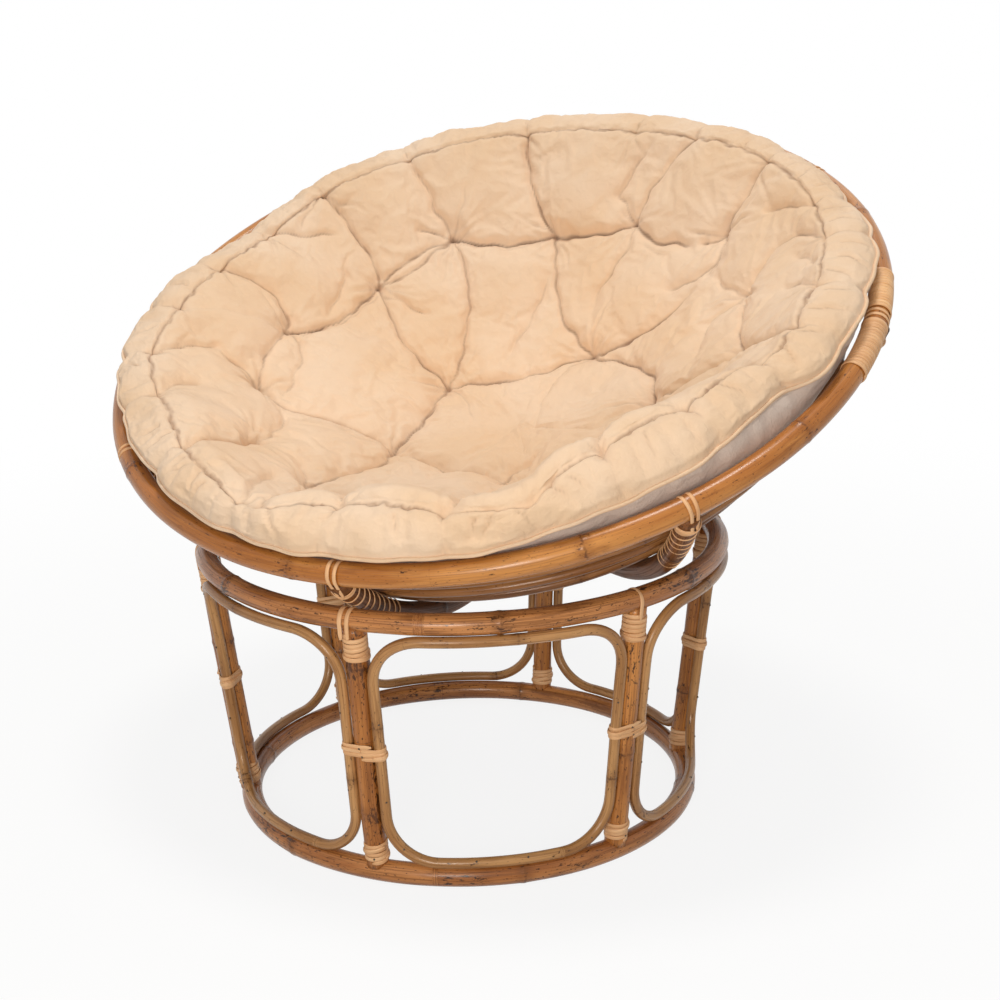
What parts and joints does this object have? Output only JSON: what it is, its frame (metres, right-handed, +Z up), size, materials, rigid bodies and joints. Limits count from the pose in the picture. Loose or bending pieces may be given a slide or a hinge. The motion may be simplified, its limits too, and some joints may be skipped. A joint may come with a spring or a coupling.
{
  "type": "papasan chair",
  "caption": "Round bowl-shaped rattan chair with a tufted cushion; the bowl rests loosely, tilted forward, on a round open base bound with cane.",
  "frame": {"origin": "on the floor, under the middle of the chair's outline seen from above", "axes": "+Z up; the bowl's opening leans towards -Y, the front, so a sitter faces -Y; +X is the side where the rim's pole is joined"},
  "size_m": [1.073, 0.9822, 0.8975],
  "materials": {
    "rattan": "glossy, honey brown with dark nodes and flecks",
    "pale_rattan": "satin, paler",
    "cane": "satin",
    "canvas": "matte, slightly wrinkled"
  },
  "bodies": {
    "base": {"base_top_ring": "rattan", "base_bottom_ring": "rattan", "post_1": "rattan", "panel_loop_1": "pale_rattan", "top_binding_1": "cane", "middle_binding_1": "cane", "bottom_binding_1": "cane", "post_2": "rattan", "panel_loop_2": "pale_rattan", "top_binding_2": "cane", "middle_binding_2": "cane", "bottom_binding_2": "cane", "post_3": "rattan", "panel_loop_3": "pale_rattan", "top_binding_3": "cane", "middle_binding_3": "cane", "bottom_binding_3": "cane", "post_4": "rattan", "panel_loop_4": "pale_rattan", "top_binding_4": "cane", "middle_binding_4": "cane", "bottom_binding_4": "cane", "post_5": "rattan", "panel_loop_5": "pale_rattan", "top_binding_5": "cane", "middle_binding_5": "cane", "bottom_binding_5": "cane", "post_6": "rattan", "panel_loop_6": "pale_rattan", "top_binding_6": "cane", "middle_binding_6": "cane", "bottom_binding_6": "cane"},
    "bowl": {"bowl_rim": "rattan", "rim_joint_binding_1": "cane", "rim_joint_binding_2": "cane", "bowl_hoop_1": "pale_rattan", "bowl_hoop_2": "pale_rattan", "bowl_hoop_3": "pale_rattan", "bowl_hoop_4": "pale_rattan", "bowl_hoop_5": "pale_rattan", "bowl_hoop_6": "pale_rattan", "bowl_rib_1": "rattan", "rib_lashing_1": "cane", "bowl_rib_2": "rattan", "rib_lashing_2": "cane", "bowl_rib_3": "rattan", "rib_lashing_3": "cane", "bowl_rib_4": "rattan", "rib_lashing_4": "cane", "bowl_rib_5": "rattan", "rib_lashing_5": "cane", "bowl_rib_6": "rattan", "rib_lashing_6": "cane", "bowl_rib_7": "rattan", "rib_lashing_7": "cane", "bowl_rib_8": "rattan", "rib_lashing_8": "cane"},
    "cushion": {"seat_cushion": "canvas"}
  },
  "joints": [
    {"name": "bowl_tilt", "type": "hinge", "parent": "base", "child": "bowl", "pos_m": [0, -0.10747, 0.87167], "axis": [1, 0, 0], "range_deg": [-24.7, 3]},
    {"name": "cushion_lift", "type": "slide", "parent": "bowl", "child": "cushion", "axis": [0, -0.4179, 0.9085], "range_m": [0, 0.5]}
  ]
}
